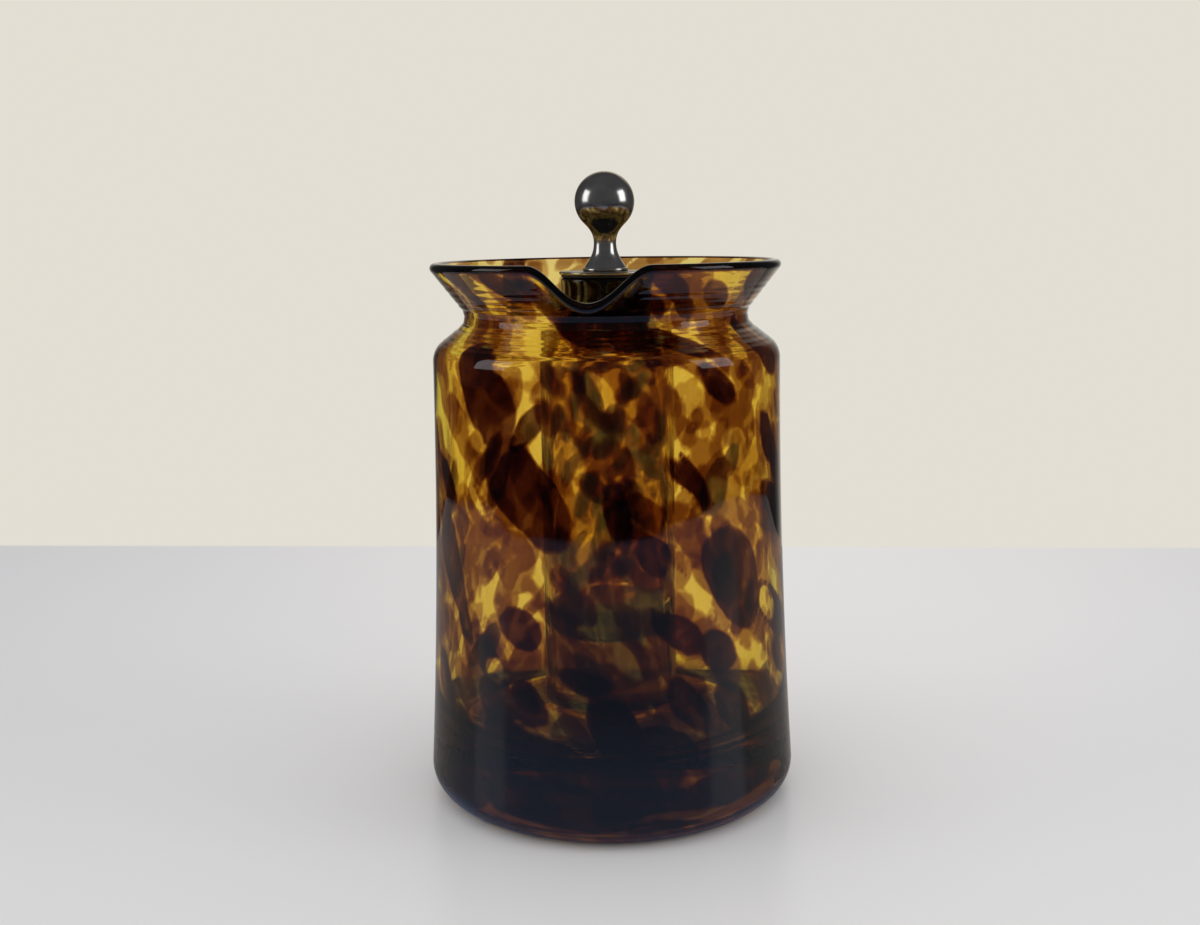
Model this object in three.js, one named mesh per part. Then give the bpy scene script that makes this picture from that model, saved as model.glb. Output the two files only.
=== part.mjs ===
// Blown glass carafe with a pinched pouring lip, a loose ice tube and a knobbed lid.
// Millimetres, +Z up. The origin is the centre of the base, and the lip points along -Y.
import * as THREE from 'three';

// Glass jug: heavy base, nearly straight body, drawn-in neck and flared collar
const BASE_RADIUS = 75;
const HEEL_ROUND = 12;
const FLOOR_THICKNESS = 28;
const FLOOR_ROUND = 16;
const SHOULDER_RADIUS = 70;
const SHOULDER_ROUND = 9.5;
const BODY_HEIGHT = 178;
const NECK_RADIUS = 57.1;
const NECK_ROUND = 5.5;
const NECK_RISE = 17.4;
const RIM_RADIUS = 70.3;
const COLLAR_RISE = 21.6;
const JUG_WALL = 4;
const KICK_RADIUS = 46;
const KICK_DEPTH = 2.5;

// Pouring lip pinched down and out of the collar
const LIP_WIDTH = 48;
const LIP_DROP = 13.2;
const LIP_REACH = 4;

// Ice tube standing on the jug's floor, with a thick bottom that keeps it from floating
const TUBE_RADIUS = 27.2;
const TUBE_WALL = 2.5;
const TUBE_FOOT_ROUND = 13;
const TUBE_FLOOR_THICKNESS = 35;
const TUBE_WELL_ROUND = 18;
const TUBE_SHOULDER_RISE = 26;
const MOUTH_RADIUS = 15.5;
const MOUTH_HEIGHT = 6;

// Lid: metal plate, turned knob, soft stopper and the screw that clamps them together
const LID_SINK = 4.2;
const PLATE_RADIUS = 18.6;
const PLATE_THICKNESS = 1.2;
const PLATE_EDGE_ROUND = 0.4;
const BALL_RADIUS = 12;
const BALL_RISE = 27.6;
const BALL_UNDERCUT = 45;
const WAIST_RADIUS = 4.5;
const WAIST_RISE = 11.2;
const KNOB_FOOT_RADIUS = 9.2;
const KNOB_FOOT_EDGE = 1.4;
const STOPPER_FLANGE_THICKNESS = 1;
const STOPPER_FLANGE_INSET = 0.8;
const STOPPER_DEPTH = 12;
const STOPPER_RIB_COUNT = 3;
const STOPPER_RIB_DEPTH = 1.4;
const STOPPER_RIB_LAND = 0.8;
const SCREW_RADIUS = 2.5;
const SCREW_GRIP = 12;
const SCREW_HEAD_RADIUS = 4.75;
const SCREW_HEAD_HEIGHT = 3;
const WASHER_RADIUS = 8;
const WASHER_THICKNESS = 1.2;

// Clearances
const SEAT_GAP = 0.1;
const STOPPER_CLEARANCE = 0.2;
const SCREW_CLEARANCE = 0.25;
const THREAD_CLEARANCE = 0.1;

// Fineness of the facets
const PROFILE_STEPS = 3;
const JUG_SEGMENTS = 64;
const LIP_CROWDING = 0.55;
const ROUND_SEGMENTS = 40;
const SAME_POINT = 1e-6;

// Heights that follow from the sizes above
const neckHeight = BODY_HEIGHT + NECK_RISE;
const rimHeight = neckHeight + COLLAR_RISE;
const plateTop = rimHeight - LID_SINK;
const plateBottom = plateTop - PLATE_THICKNESS;
const tubeTop = plateBottom - STOPPER_FLANGE_THICKNESS - SEAT_GAP;
const tubeBottom = FLOOR_THICKNESS + SEAT_GAP;
const tubeHeight = tubeTop - tubeBottom;

const rightAngle = Math.PI / 2;

// Points along a path, without the doubled ones where one stretch meets the next
function outline(path) {
  const points = [];
  for (const point of path.getPoints(PROFILE_STEPS)) {
    const last = points[points.length - 1];
    if (!last || last.distanceTo(point) > SAME_POINT) {
      points.push(point);
    }
  }
  return points;
}

// Turned solid about Z from a profile of radius and height
function revolve(path) {
  const geometry = new THREE.LatheGeometry(outline(path), ROUND_SEGMENTS);
  geometry.rotateX(rightAngle);
  return geometry;
}

// Solid lofted about Z through sections that start and end on the axis
function loftAroundAxis(sectionAt, azimuths) {
  const sections = azimuths.map((azimuth) => sectionAt(azimuth));
  const inner = sections[0].length - 2;
  const count = azimuths.length;
  const positions = [0, 0, sections[0][0].y, 0, 0, sections[0][inner + 1].y];
  sections.forEach((section, side) => {
    for (const point of section.slice(1, -1)) {
      const x = point.x * Math.sin(azimuths[side]);
      const y = -point.x * Math.cos(azimuths[side]);
      positions.push(x, y, point.y);
    }
  });
  const vertex = (side, step) => 2 + (side % count) * inner + step;
  const triangles = [];
  for (let side = 0; side < count; side += 1) {
    triangles.push(0, vertex(side + 1, 0), vertex(side, 0));
    triangles.push(1, vertex(side, inner - 1), vertex(side + 1, inner - 1));
    for (let step = 0; step < inner - 1; step += 1) {
      const low = vertex(side, step);
      const lowNext = vertex(side + 1, step);
      const high = vertex(side, step + 1);
      const highNext = vertex(side + 1, step + 1);
      triangles.push(low, lowNext, highNext, low, highNext, high);
    }
  }
  const geometry = new THREE.BufferGeometry();
  geometry.setAttribute('position', new THREE.Float32BufferAttribute(positions, 3));
  geometry.setIndex(triangles);
  geometry.computeVertexNormals();
  return geometry;
}

// How far the lip is pulled at an azimuth from its middle, from 0 to 1
function lipPull(azimuth) {
  const halfAngle = LIP_WIDTH / 2 / RIM_RADIUS;
  const share = Math.min(Math.abs(azimuth) / halfAngle, 1);
  return 0.5 * (1 + Math.cos(Math.PI * share));
}

// Outside radius of the body, which swells gently towards the heel
function bodyRadius(height) {
  const share = (BODY_HEIGHT - height) / (BODY_HEIGHT - HEEL_ROUND);
  return SHOULDER_RADIUS + (BASE_RADIUS - SHOULDER_RADIUS) * share * share;
}

// Half section of the jug: round the outside, over the rim and down the inside
function jugSection(azimuth) {
  const pull = lipPull(azimuth);
  const halfWall = JUG_WALL / 2;
  const shoulder = new THREE.Vector2(SHOULDER_RADIUS - SHOULDER_ROUND, BODY_HEIGHT);
  const neck = new THREE.Vector2(NECK_RADIUS + NECK_ROUND, neckHeight);
  const rim = new THREE.Vector2(
    RIM_RADIUS - halfWall + LIP_REACH * pull,
    rimHeight - halfWall - LIP_DROP * pull,
  );

  // Directions square to the slope from shoulder to neck and to the collar
  const rise = neck.clone().sub(shoulder);
  const slope = rise.angle() - Math.acos((SHOULDER_ROUND + NECK_ROUND) / rise.length());
  const flare = rim.clone().sub(neck);
  const collar = flare.angle() + Math.acos((NECK_ROUND + halfWall) / flare.length());

  const wallFoot = FLOOR_THICKNESS + FLOOR_ROUND;
  const footRadius = bodyRadius(wallFoot) - JUG_WALL;
  const innerRadius = SHOULDER_RADIUS - JUG_WALL;
  const heelRadius = BASE_RADIUS - HEEL_ROUND;

  const path = new THREE.Path();
  path.moveTo(0, KICK_DEPTH);
  path.quadraticCurveTo(KICK_RADIUS / 2, KICK_DEPTH, KICK_RADIUS, 0);
  path.lineTo(heelRadius, 0);
  path.absarc(heelRadius, HEEL_ROUND, HEEL_ROUND, -rightAngle, 0, false);
  path.quadraticCurveTo(SHOULDER_RADIUS, (HEEL_ROUND + BODY_HEIGHT) / 2, SHOULDER_RADIUS, BODY_HEIGHT);
  path.absarc(shoulder.x, shoulder.y, SHOULDER_ROUND, 0, slope, false);
  path.absarc(neck.x, neck.y, NECK_ROUND, slope + Math.PI, collar, true);
  path.absarc(rim.x, rim.y, halfWall, collar - Math.PI, collar, false);
  path.absarc(neck.x, neck.y, NECK_ROUND + JUG_WALL, collar, slope + Math.PI, false);
  path.absarc(shoulder.x, shoulder.y, SHOULDER_ROUND - JUG_WALL, slope, 0, true);
  path.quadraticCurveTo(innerRadius, (wallFoot + BODY_HEIGHT) / 2, footRadius, wallFoot);
  path.absarc(footRadius - FLOOR_ROUND, wallFoot, FLOOR_ROUND, 0, -rightAngle, true);
  path.lineTo(0, FLOOR_THICKNESS);
  return outline(path);
}

// Sections lie closer together towards the lip, where the collar bends most
function jugGeometry() {
  const azimuths = [];
  for (let side = 0; side < JUG_SEGMENTS; side += 1) {
    const turn = (2 * Math.PI * side) / JUG_SEGMENTS - Math.PI;
    azimuths.push(turn - LIP_CROWDING * Math.sin(turn));
  }
  return loftAroundAxis(jugSection, azimuths);
}

// Round-bottomed tube that draws in to a mouth with a fire-rounded rim
function iceTubeGeometry() {
  const neckRadius = MOUTH_RADIUS + TUBE_WALL;
  const innerRadius = TUBE_RADIUS - TUBE_WALL;
  const footRadius = TUBE_RADIUS - TUBE_FOOT_ROUND;
  const wellFoot = TUBE_FLOOR_THICKNESS + TUBE_WELL_ROUND;
  const wellRadius = innerRadius - TUBE_WELL_ROUND;
  const mouthFoot = tubeHeight - MOUTH_HEIGHT;
  const wallTop = mouthFoot - TUBE_SHOULDER_RISE;
  const bend = wallTop + TUBE_SHOULDER_RISE / 2;
  const lipRound = TUBE_WALL / 2;
  const lipHeight = tubeHeight - lipRound;

  const path = new THREE.Path();
  path.moveTo(0, 0);
  path.lineTo(footRadius, 0);
  path.absarc(footRadius, TUBE_FOOT_ROUND, TUBE_FOOT_ROUND, -rightAngle, 0, false);
  path.lineTo(TUBE_RADIUS, wallTop);
  path.bezierCurveTo(TUBE_RADIUS, bend, neckRadius, bend, neckRadius, mouthFoot);
  path.absarc(MOUTH_RADIUS + lipRound, lipHeight, lipRound, 0, Math.PI, false);
  path.lineTo(MOUTH_RADIUS, mouthFoot);
  path.bezierCurveTo(MOUTH_RADIUS, bend, innerRadius, bend, innerRadius, wallTop);
  path.lineTo(innerRadius, wellFoot);
  path.absarc(wellRadius, wellFoot, TUBE_WELL_ROUND, 0, -rightAngle, true);
  path.lineTo(0, TUBE_FLOOR_THICKNESS);
  return revolve(path);
}

// Flat disc with a rounded edge and a hole for the screw
function plateGeometry() {
  const holeRadius = SCREW_RADIUS + SCREW_CLEARANCE;
  const edge = PLATE_RADIUS - PLATE_EDGE_ROUND;
  const path = new THREE.Path();
  path.moveTo(holeRadius, 0);
  path.lineTo(edge, 0);
  path.absarc(edge, PLATE_EDGE_ROUND, PLATE_EDGE_ROUND, -rightAngle, 0, false);
  path.absarc(edge, PLATE_THICKNESS - PLATE_EDGE_ROUND, PLATE_EDGE_ROUND, 0, rightAngle, false);
  path.lineTo(holeRadius, PLATE_THICKNESS);
  path.lineTo(holeRadius, 0);
  return revolve(path);
}

// Ball on a drawn-in waist and a spreading foot, with a blind threaded hole below
function knobGeometry() {
  const holeRadius = SCREW_RADIUS + THREAD_CLEARANCE;
  const holeDepth = SCREW_GRIP + SCREW_CLEARANCE;
  const undercut = THREE.MathUtils.degToRad(BALL_UNDERCUT);
  const joinRadius = BALL_RADIUS * Math.cos(undercut);
  const joinRise = BALL_RISE - BALL_RADIUS * Math.sin(undercut);
  const pullUp = (joinRise - WAIST_RISE) / 2;
  const leanIn = pullUp * Math.tan(undercut) / 2;
  const edgeRound = KNOB_FOOT_EDGE / 2;
  const edgeRadius = KNOB_FOOT_RADIUS - edgeRound;
  const sweep = (WAIST_RISE - KNOB_FOOT_EDGE) / 2;
  const flareRadius = (2 * edgeRadius + WAIST_RADIUS) / 3;

  const path = new THREE.Path();
  path.moveTo(0, holeDepth);
  path.lineTo(holeRadius, holeDepth);
  path.lineTo(holeRadius, 0);
  path.lineTo(edgeRadius, 0);
  path.absarc(edgeRadius, edgeRound, edgeRound, -rightAngle, rightAngle, false);
  path.bezierCurveTo(
    flareRadius, KNOB_FOOT_EDGE + sweep / 2,
    WAIST_RADIUS, KNOB_FOOT_EDGE + sweep,
    WAIST_RADIUS, WAIST_RISE,
  );
  path.bezierCurveTo(
    WAIST_RADIUS, WAIST_RISE + pullUp,
    joinRadius - leanIn, joinRise - leanIn,
    joinRadius, joinRise,
  );
  path.absarc(0, BALL_RISE, BALL_RADIUS, -undercut, rightAngle, false);
  return revolve(path);
}

// Soft plug with a flange on the tube's rim and ribs that seal in its mouth
function stopperGeometry() {
  const holeRadius = SCREW_RADIUS + SCREW_CLEARANCE;
  const flangeRadius = PLATE_RADIUS - STOPPER_FLANGE_INSET;
  const ribRadius = MOUTH_RADIUS - STOPPER_CLEARANCE;
  const coreRadius = ribRadius - STOPPER_RIB_DEPTH;
  const pitch = STOPPER_DEPTH / STOPPER_RIB_COUNT;
  const path = new THREE.Path();
  path.moveTo(holeRadius, -STOPPER_DEPTH);
  path.lineTo(coreRadius, -STOPPER_DEPTH);
  for (let rib = 0; rib < STOPPER_RIB_COUNT; rib += 1) {
    const foot = -STOPPER_DEPTH + rib * pitch;
    path.lineTo(ribRadius, foot + (pitch - STOPPER_RIB_LAND) / 2);
    path.lineTo(ribRadius, foot + (pitch + STOPPER_RIB_LAND) / 2);
    path.lineTo(coreRadius, foot + pitch);
  }
  path.lineTo(flangeRadius, 0);
  path.lineTo(flangeRadius, STOPPER_FLANGE_THICKNESS);
  path.lineTo(holeRadius, STOPPER_FLANGE_THICKNESS);
  path.lineTo(holeRadius, -STOPPER_DEPTH);
  return revolve(path);
}

// Flat ring under the screw's head
function washerGeometry() {
  const holeRadius = SCREW_RADIUS + SCREW_CLEARANCE;
  const path = new THREE.Path();
  path.moveTo(holeRadius, -WASHER_THICKNESS);
  path.lineTo(WASHER_RADIUS, -WASHER_THICKNESS);
  path.lineTo(WASHER_RADIUS, 0);
  path.lineTo(holeRadius, 0);
  path.lineTo(holeRadius, -WASHER_THICKNESS);
  return revolve(path);
}

// Round-headed screw: head below, shank up through the stack into the knob
function screwGeometry(length) {
  const path = new THREE.Path();
  path.moveTo(0, -SCREW_HEAD_HEIGHT);
  path.quadraticCurveTo(SCREW_HEAD_RADIUS, -SCREW_HEAD_HEIGHT, SCREW_HEAD_RADIUS, 0);
  path.lineTo(SCREW_RADIUS, 0);
  path.lineTo(SCREW_RADIUS, length);
  path.lineTo(0, length);
  return revolve(path);
}

function piece(name, geometry, look) {
  const mesh = new THREE.Mesh(geometry, new THREE.MeshStandardMaterial(look));
  mesh.name = name;
  return mesh;
}

function place(mesh, height) {
  mesh.position.z = height;
  return mesh;
}

const mottledGlass = { color: '#7a4a16', roughness: 0.03, metalness: 0, transparent: true, opacity: 0.6 };
const amberGlass = { color: '#b48a3c', roughness: 0.03, metalness: 0, transparent: true, opacity: 0.4 };
const darkNickel = { color: '#77746f', roughness: 0.16, metalness: 1 };
const brightNickel = { color: '#b3b0aa', roughness: 0.2, metalness: 1 };
const darkRubber = { color: '#2a2019', roughness: 0.7, metalness: 0 };
const plainSteel = { color: '#9a9a98', roughness: 0.35, metalness: 1 };

// The lid is stacked from its seat on the tube's rim, with the flange as the cushion
const stopperSeat = plateBottom - STOPPER_FLANGE_THICKNESS;
const stopperFoot = stopperSeat - STOPPER_DEPTH;
const screwSeat = stopperFoot - WASHER_THICKNESS;
const screwLength = plateTop + SCREW_GRIP - screwSeat;

const lid = new THREE.Group();
lid.add(place(piece('lid_plate', plateGeometry(), brightNickel), plateBottom));
lid.add(place(piece('lid_knob', knobGeometry(), darkNickel), plateTop));
lid.add(place(piece('lid_stopper', stopperGeometry(), darkRubber), stopperSeat));
lid.add(place(piece('lid_washer', washerGeometry(), plainSteel), stopperFoot));
lid.add(place(piece('lid_screw', screwGeometry(screwLength), plainSteel), screwSeat));

const carafe = new THREE.Group();
carafe.add(piece('carafe_body', jugGeometry(), mottledGlass));
carafe.add(place(piece('ice_tube', iceTubeGeometry(), amberGlass), tubeBottom));
carafe.add(lid);

export default carafe;
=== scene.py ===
"""Tortoiseshell glass carafe with a loose ice tube and a knobbed metal lid."""
import math

import bpy
import numpy as np
from mathutils import Matrix, Vector


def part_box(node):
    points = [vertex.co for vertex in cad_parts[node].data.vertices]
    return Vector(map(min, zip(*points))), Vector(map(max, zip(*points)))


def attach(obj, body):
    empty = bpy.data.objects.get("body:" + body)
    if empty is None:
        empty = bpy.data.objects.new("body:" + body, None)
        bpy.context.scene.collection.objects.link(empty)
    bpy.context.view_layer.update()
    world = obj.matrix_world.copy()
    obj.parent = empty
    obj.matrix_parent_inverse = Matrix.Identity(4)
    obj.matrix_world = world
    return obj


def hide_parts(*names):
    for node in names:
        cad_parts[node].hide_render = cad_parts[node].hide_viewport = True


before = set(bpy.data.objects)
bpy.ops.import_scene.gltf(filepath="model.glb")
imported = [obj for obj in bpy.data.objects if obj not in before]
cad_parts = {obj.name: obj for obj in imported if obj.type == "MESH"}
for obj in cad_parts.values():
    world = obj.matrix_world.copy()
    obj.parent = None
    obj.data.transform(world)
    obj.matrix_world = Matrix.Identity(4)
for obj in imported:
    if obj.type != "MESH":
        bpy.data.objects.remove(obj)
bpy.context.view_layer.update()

bl_info = {
    "name": "Tortoiseshell Carafe",
    "version": (1, 0, 0),
    "blender": (4, 5, 0),
    "location": "3D View > Sidebar > Carafe",
    "description": "Builds a tortoiseshell glass carafe with an ice tube and a knobbed lid",
    "category": "Object",
}

MM = 0.001

# Where the pieces stand, from the frame
JUG_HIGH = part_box("carafe_body")[1]
TUBE_LOW, TUBE_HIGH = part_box("ice_tube")
PLATE_LOW, PLATE_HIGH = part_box("lid_plate")
STOPPER_LOW, STOPPER_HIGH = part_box("lid_stopper")
WASHER_LOW, WASHER_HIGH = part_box("lid_washer")
SCREW_LOW, SCREW_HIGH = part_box("lid_screw")
KNOB_LOW, KNOB_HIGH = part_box("lid_knob")

# Fineness of the finished surfaces
JUG_SEGMENTS = 330
TURNED_SEGMENTS = 128
TUBE_SEGMENTS = 192
BEAD_STEPS = 14
SHARP_ANGLE = math.radians(38)

# Photograph's frame, the lens fitted to it in pixels, and the place of its camera
PHOTO_WIDTH = 1200
PHOTO_HEIGHT = 925
LENS_PIXELS = 1400
PRINCIPAL_X = 607.5
PRINCIPAL_Y = 421.1
SENSOR_WIDTH = 36.0
CAMERA_DISTANCE = 0.5666
CAMERA_HEIGHT = 0.2313
CAMERA_AZIMUTH = math.radians(5.2)
CAMERA_PITCH = math.radians(8.0)
CAMERA_ROLL = -0.014

# Stage in metres: the table's far edge, and the dark cards round its other sides
TABLE_EDGE = 0.424
TABLE_SLANT = math.radians(1.2)
STAGE_NEAR = -0.95
STAGE_FAR = 2.5
STAGE_SIDE = 1.6
CARD_LOW = -0.8
CARD_TOP = 1.9

# Soft windows: place, width, height and watts, all turned to one point
LIGHT_TARGET = (0.0, 0.0, 0.13)
WINDOWS = {
    "window_left": ((-1.26, -0.34, 0.62), 0.6, 0.8, 2.2),
    "window_right": ((1.28, -0.24, 0.62), 0.65, 0.8, 2.8),
}

# How strongly the glass absorbs, per metre of its thickness
JUG_ABSORPTION = 340.0
TUBE_ABSORPTION = 95.0

# Large dark patches that face the viewer: azimuth from the lip and tilt in degrees,
# height above the table, half length and half width in millimetres
FRONT_PATCHES = (
    (-36, 171, 22, 12, 66), (-21, 134, 25, 12, 54), (-80, 126, 26, 8, 82), (-57, 132, 11, 5, 62),
    (-46, 152, 8, 3.5, 60), (-33, 111, 7, 5, 60), (-46, 118, 8, 5, 60), (-23, 113, 6, 4, 60),
    (-54, 104, 22, 8, 66), (40, 174, 11, 5, 42), (34, 162, 5, 3, 50), (29, 157, 7, 4, 50),
    (43, 148, 8, 3, 60), (30, 139, 12, 5, 60), (30, 121, 7, 5, 50), (19, 160, 7, 5, 60),
    (47, 99, 23, 12, 64), (18, 110, 9, 6, 45), (8, 127, 13, 5, 86), (1, 201, 30, 10, 24),
    (30, 191, 14, 5, 20), (76, 130, 24, 6, 72), (-23, 82, 9, 7, 50), (-47, 84, 10, 4, 68),
    (-36, 71, 10, 5, 60), (-21, 70, 6, 4, 50), (26, 81, 11, 6, 30), (39, 74, 10, 6, 50),
    (-1, 77, 6, 4, 45), (-2, 66, 9, 4, 20), (29, 54, 12, 6, 60), (-20, 54, 9, 7, 60),
    (-58, 52, 14, 6, 70), (-43, 36, 14, 6, 60), (-10, 33, 18, 8, 20), (12, 31, 18, 8, 20),
    (22, 38, 12, 7, 30), (-31, 55, 12, 7, 55), (45, 50, 13, 7, 60), (-26, 40, 12, 6, 30),
    (0, 18, 26, 9, 5), (-23, 18, 18, 8, 10), (20, 16, 18, 8, 10), (40, 19, 16, 9, -8),
    (52, 20, 13, 7, -20), (-46, 19, 16, 9, 8), (-28, 217, 12, 5, 40), (-50, 215, 10, 4, 45),
    (26, 217, 10, 5, 40), (20, 208, 9, 4, 35), (33, 209, 9, 3.5, 35), (45, 213, 11, 5, 40),
    (-14, 211, 14, 6, 30), (64, 215, 10, 5, 45), (-68, 211, 12, 5, 45),
)

# Clear gaps and veins between them, in the same measures
FRONT_GAPS = (
    (29, 98, 11, 3.3, 58), (64, 84, 8, 5, 70), (63, 66, 11, 2, 75), (55, 49, 16, 2.6, 61),
    (31, 69, 10, 2.6, 20), (56, 66, 9, 3.2, 65), (40, 83, 9, 1.3, 40), (43, 12, 42, 2.2, 0),
    (177, 15, 20, 4, 0), (-70, 27, 13, 2.4, 76), (-61, 19, 10, 2, 70), (68, 31, 13, 2.6, 75),
    (77, 22, 10, 2.2, 80), (-21, 93, 5, 2.6, -30), (-31, 101, 8, 1.4, 55), (-39, 94, 10, 1.7, 73),
    (-49, 75, 11, 2, 68), (-57, 32, 11, 2.2, 72), (-33, 66, 6, 4, 50), (29, 173, 9, 5, 40),
    (48, 149, 9, 5, 60), (42, 131, 11, 5, 60), (25, 153, 9, 2.6, 70), (27, 135, 9, 1.6, 40),
    (-40, 154, 6, 3, 50), (-40, 132, 11, 2.2, 55), (-55, 150, 6, 3, 80), (-21, 153, 6, 1.6, -20),
    (-24, 180, 9, 5, 20), (3, 173, 9, 5, 60), (-5, 150, 10, 4, 60), (0, 84, 8, 3, 20),
    (9, 73, 10, 3.5, 65),
)


def linear(hex_text):
    """Linear colour with alpha from an sRGB hex value."""
    channels = [int(hex_text[i:i + 2], 16) / 255 for i in (0, 2, 4)]
    levels = [c / 12.92 if c <= 0.04045 else ((c + 0.055) / 1.055) ** 2.4 for c in channels]
    return (*levels, 1.0)


def toned(tint, share):
    """Colour made darker or lighter by a share, still opaque."""
    return [min(c * share, 1.0) for c in tint[:3]] + [1.0]


def length(name, description, millimetres):
    """Length property with its default in millimetres."""
    return bpy.props.FloatProperty(
        name=name, description=description, default=millimetres * MM,
        min=0.0, unit="LENGTH", precision=4)


def turn(name, description, degrees):
    """Angle property with its default in degrees."""
    return bpy.props.FloatProperty(
        name=name, description=description, default=math.radians(degrees), subtype="ANGLE")


def count(name, description, default):
    """Whole number property."""
    return bpy.props.IntProperty(name=name, description=description, default=default, min=0)


def colour(name, description, hex_text):
    """Colour property with its default as sRGB hex."""
    return bpy.props.FloatVectorProperty(
        name=name, description=description, default=linear(hex_text),
        size=4, subtype="COLOR", min=0.0, max=1.0)


class JugSizes(bpy.types.PropertyGroup):
    """Sizes of the blown jug."""
    heel_round: length("Heel round", "Radius between base and body", 12)
    floor_thickness: length("Floor thickness", "Glass under the inside floor", 28)
    floor_round: length("Floor round", "Radius between inside floor and wall", 16)
    shoulder_radius: length("Shoulder radius", "Body radius below the neck", 70)
    shoulder_round: length("Shoulder round", "Outside radius of the shoulder's bend", 9.5)
    body_height: length("Body height", "Height where the shoulder starts to bend", 178)
    neck_radius: length("Neck radius", "Outside radius of the drawn-in neck", 57.1)
    neck_round: length("Neck round", "Outside radius of the neck's bend", 5.5)
    neck_rise: length("Neck rise", "Height of the neck above the shoulder", 17.4)
    rim_radius: length("Rim radius", "Outside radius of the collar's rim", 70.3)
    wall: length("Wall", "Thickness of the blown wall", 4)
    kick_radius: length("Kick radius", "Radius of the hollow under the base", 46)
    kick_depth: length("Kick depth", "Depth of the hollow under the base", 2.5)
    lip_width: length("Lip width", "Width of the pouring lip along the rim", 48)
    lip_drop: length("Lip drop", "How far the lip dips below the rim", 13.2)
    lip_reach: length("Lip reach", "How far the lip stands out of the rim", 4)
    tool_mark: length("Tool marks", "Height of the rings that the shaping tool left round the neck", 0.1)


class TubeSizes(bpy.types.PropertyGroup):
    """Sizes of the ice tube."""
    wall: length("Wall", "Thickness of the tube's wall", 2.5)
    foot_round: length("Foot round", "Outside radius at the bottom", 13)
    floor_thickness: length("Floor thickness", "Solid glass at the bottom", 35)
    well_round: length("Well round", "Inside radius at the bottom", 18)
    shoulder_rise: length("Shoulder rise", "Height over which the tube draws in", 26)
    mouth_radius: length("Mouth radius", "Inside radius of the mouth", 15.5)
    mouth_height: length("Mouth height", "Height of the straight mouth", 6)


class LidSizes(bpy.types.PropertyGroup):
    """Sizes of the lid's metal and soft pieces."""
    plate_edge_round: length("Plate edge", "Radius on the plate's edge", 0.4)
    ball_rise: length("Ball rise", "Height of the ball's centre above the plate", 27.6)
    ball_undercut: turn("Ball undercut", "Angle below the ball's middle where the stem joins", 45)
    waist_radius: length("Waist radius", "Thinnest part of the stem", 4.5)
    waist_rise: length("Waist rise", "Height of the waist above the plate", 11.2)
    foot_radius: length("Foot radius", "Radius of the knob's foot", 9.2)
    foot_edge: length("Foot edge", "Height of the foot's rounded edge", 1.4)
    screw_radius: length("Screw radius", "Radius of the screw's shank", 2.5)
    screw_grip: length("Screw grip", "Length of screw inside the knob", 12)
    screw_head_height: length("Screw head", "Height of the screw's head", 3)
    hole_clearance: length("Hole clearance", "Room round the screw", 0.25)
    thread_clearance: length("Thread clearance", "Room round the screw inside the knob", 0.1)
    stopper_core_radius: length("Stopper core", "Stopper radius between its ribs", 13.9)
    stopper_rib_radius: length("Stopper ribs", "Stopper radius over its ribs", 15.3)
    stopper_flange: length("Stopper flange", "Thickness of the stopper's flange", 1)
    stopper_ribs: count("Rib count", "Number of sealing ribs", 3)


class PatternSizes(bpy.types.PropertyGroup):
    """The tortoiseshell pattern that the twisted blowing pulls out."""
    seed: count("Seed", "Seed of the scattered patches", 7)
    tilt: turn("Tilt", "Slope of the patches down to the right", 55)
    dark_patches: count("Dark patches", "Large dark patches round the sides and back", 64)
    brown_patches: count("Brown patches", "Thinner brown patches all round", 560)
    cells: count("Low patches", "Brown patches with thin veins between them on the lower body", 300)
    specks: count("Pale patches", "Thinnest patches all round", 420)
    tube_patches: count("Tube patches", "Patches on the ice tube", 84)
    tube_specks: count("Tube specks", "Small patches on the ice tube", 130)
    edge: length("Edge", "Width over which a patch fades out", 1.5)


class Finishes(bpy.types.PropertyGroup):
    """Colours of the pieces."""
    clear_glass: colour("Clear glass", "Tint of the glass between the patches", "FFECCC")
    streaked_glass: colour("Streaked glass", "Tint in the streaks between the patches", "F6E0B0")
    tube_glass: colour("Tube glass", "Tint of the ice tube between its patches", "FDF3DC")
    speck_glass: colour("Pale patches", "Tint of the thinnest patches", "A47C5E")
    brown_glass: colour("Brown patches", "Tint of the thin patches", "7C4F3C")
    # Also the tint of the painted shade on the rim's bead, the base's underside and the ice tube under the
    # lid
    dark_and_shade_glass: colour("Dark patches", "Tint of the thick patches", "23080B")
    glass_body: colour("Amber body", "Colour that the jug's glass lets through", "FAF8AE")
    tube_body: colour("Olive body", "Colour that the ice tube's glass lets through", "E1DA00")
    nickel_dark: colour("Dark nickel", "Plating of the knob", "E2DED8")
    nickel_bright: colour("Bright nickel", "Plating of the plate", "C8C4BC")
    rubber: colour("Rubber", "Stopper", "150F0C")
    steel: colour("Steel", "Screw and washer", "A6A6A3")
    table: colour("Table", "Plain pale table top", "EAE8E6")
    backdrop: colour("Backdrop", "Plain pale background", "E3DED3")


def arc(centre, radius, start, end, steps):
    """Points on an arc from one angle to another, both included."""
    angles = np.linspace(start, end, steps + 1)
    return [(centre[0] + radius * math.cos(a), centre[1] + radius * math.sin(a)) for a in angles]


def bezier(points, steps):
    """Points on a Bezier curve of two or three legs, without its start."""
    spread = np.linspace(0, 1, steps + 1)[1:, None]
    level = [np.tile(np.array(p, dtype=float), (steps, 1)) for p in points]
    while len(level) > 1:
        level = [(1 - spread) * a + spread * b for a, b in zip(level, level[1:])]
    return [tuple(p) for p in level[0]]


def straight(start, end, steps):
    """Points on a line, without its start."""
    spread = np.linspace(0, 1, steps + 1)[1:]
    return [(start[0] + (end[0] - start[0]) * s, start[1] + (end[1] - start[1]) * s) for s in spread]


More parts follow.
